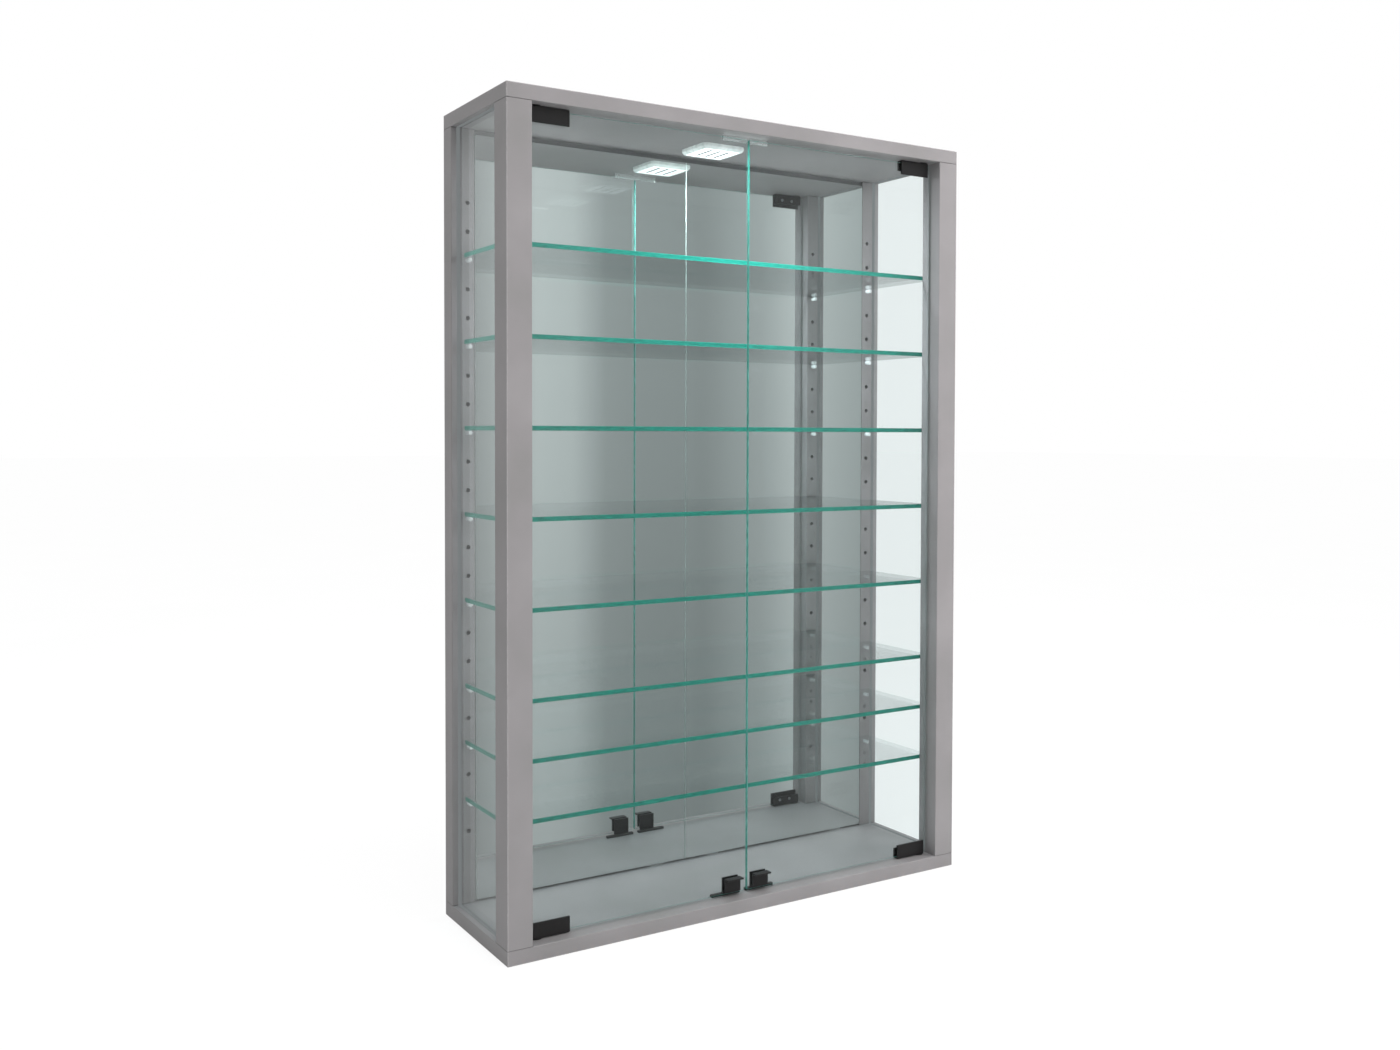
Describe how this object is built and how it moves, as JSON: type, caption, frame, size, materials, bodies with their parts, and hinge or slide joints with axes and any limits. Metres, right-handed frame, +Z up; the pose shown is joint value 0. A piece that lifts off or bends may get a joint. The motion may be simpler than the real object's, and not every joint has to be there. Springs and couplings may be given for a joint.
{
  "type": "glass display showcase",
  "caption": "Shallow wall display cabinet: grey frame, glass sides, mirror back, lamp, glass shelves on pins and two frameless glass doors on pivot clamps.",
  "frame": {"origin": "centre of the footprint, on the underside of the bottom board", "axes": "+Z up, -Y towards the doors at the front, +X to the right seen from the front"},
  "size_m": [0.6, 0.18, 0.9],
  "materials": {
    "frame_foil": "silver-grey melamine foil on chipboard, satin",
    "clear_glass": "clear float glass, ground edges",
    "silvered_glass": "silvered float glass",
    "hardboard": "grey-painted hardboard",
    "mounting_tape": "white foam tape",
    "clear_plastic": "clear moulded plastic",
    "zinc_steel": "zinc-plated steel",
    "black_metal": "black coated zinc casting, satin",
    "liner_rubber": "black rubber",
    "magnet": "dark sintered magnet strip",
    "cap_plastic": "grey moulded plastic",
    "dowel_beech": "beech",
    "bush_plastic": "black acetal",
    "lamp_plastic": "pale translucent plastic",
    "diffuser_plastic": "opal plastic",
    "circuit_board": "white solder mask"
  },
  "bodies": {
    "cabinet": {"top_board": "frame_foil", "bottom_board": "frame_foil", "front_post_left": "frame_foil", "front_post_right": "frame_foil", "rear_post_left": "frame_foil", "rear_post_right": "frame_foil", "side_pane_left": "clear_glass", "side_pane_right": "clear_glass", "back_board": "hardboard", "mirror_left": "silvered_glass", "mirror_right": "silvered_glass", "mirror_tape": "mounting_tape", "mirror_feet": "clear_plastic", "shelf_pins_left": "clear_plastic", "shelf_pins_right": "clear_plastic", "frame_screws": "zinc_steel", "screw_caps": "cap_plastic", "frame_dowels": "dowel_beech", "hinge_bush_bottom_left": "bush_plastic", "hinge_bush_bottom_right": "bush_plastic", "hinge_bush_top_left": "bush_plastic", "hinge_bush_top_right": "bush_plastic", "magnet_catch_left": "magnet", "magnet_catch_right": "magnet", "door_stop": "clear_plastic", "lamp_cover": "lamp_plastic", "lamp_diffuser": "diffuser_plastic", "lamp_base": "lamp_plastic", "lamp_led_board": "circuit_board", "lamp_screws": "zinc_steel", "lead_grommet": "cap_plastic", "hanger_plate_left": "zinc_steel", "hanger_plate_right": "zinc_steel", "hanger_screws": "zinc_steel"},
    "door_left": {"door_pane_left": "clear_glass", "hinge_clamp_bottom_left": "black_metal", "hinge_clamp_top_left": "black_metal", "clamp_liners_left": "liner_rubber", "hinge_pivots_left": "zinc_steel", "clamp_screws_left": "zinc_steel", "handle_left": "black_metal", "handle_pads_left": "liner_rubber", "strike_plate_left": "black_metal"},
    "door_right": {"door_pane_right": "clear_glass", "hinge_clamp_bottom_right": "black_metal", "hinge_clamp_top_right": "black_metal", "clamp_liners_right": "liner_rubber", "hinge_pivots_right": "zinc_steel", "clamp_screws_right": "zinc_steel", "handle_right": "black_metal", "handle_pads_right": "liner_rubber", "strike_plate_right": "black_metal"},
    "shelf_1": {"shelf_1": "clear_glass"},
    "shelf_2": {"shelf_2": "clear_glass"},
    "shelf_3": {"shelf_3": "clear_glass"},
    "shelf_4": {"shelf_4": "clear_glass"},
    "shelf_5": {"shelf_5": "clear_glass"},
    "shelf_6": {"shelf_6": "clear_glass"},
    "shelf_7": {"shelf_7": "clear_glass"},
    "shelf_8": {"shelf_8": "clear_glass"}
  },
  "joints": [
    {"name": "door_left_hinge", "type": "hinge", "parent": "cabinet", "child": "door_left", "pos_m": [-0.26, -0.071, 0.45], "axis": [0, 0, -1], "range_deg": [0, 95]},
    {"name": "door_right_hinge", "type": "hinge", "parent": "cabinet", "child": "door_right", "pos_m": [0.26, -0.071, 0.45], "axis": [0, 0, 1], "range_deg": [0, 95]},
    {"name": "shelf_1_lift", "type": "slide", "parent": "cabinet", "child": "shelf_1", "axis": [0, 0, 1], "range_m": [0, 0.03]},
    {"name": "shelf_2_lift", "type": "slide", "parent": "cabinet", "child": "shelf_2", "axis": [0, 0, 1], "range_m": [0, 0.03]},
    {"name": "shelf_3_lift", "type": "slide", "parent": "cabinet", "child": "shelf_3", "axis": [0, 0, 1], "range_m": [0, 0.03]},
    {"name": "shelf_4_lift", "type": "slide", "parent": "cabinet", "child": "shelf_4", "axis": [0, 0, 1], "range_m": [0, 0.03]},
    {"name": "shelf_5_lift", "type": "slide", "parent": "cabinet", "child": "shelf_5", "axis": [0, 0, 1], "range_m": [0, 0.03]},
    {"name": "shelf_6_lift", "type": "slide", "parent": "cabinet", "child": "shelf_6", "axis": [0, 0, 1], "range_m": [0, 0.03]},
    {"name": "shelf_7_lift", "type": "slide", "parent": "cabinet", "child": "shelf_7", "axis": [0, 0, 1], "range_m": [0, 0.03]},
    {"name": "shelf_8_lift", "type": "slide", "parent": "cabinet", "child": "shelf_8", "axis": [0, 0, 1], "range_m": [0, 0.03]}
  ]
}
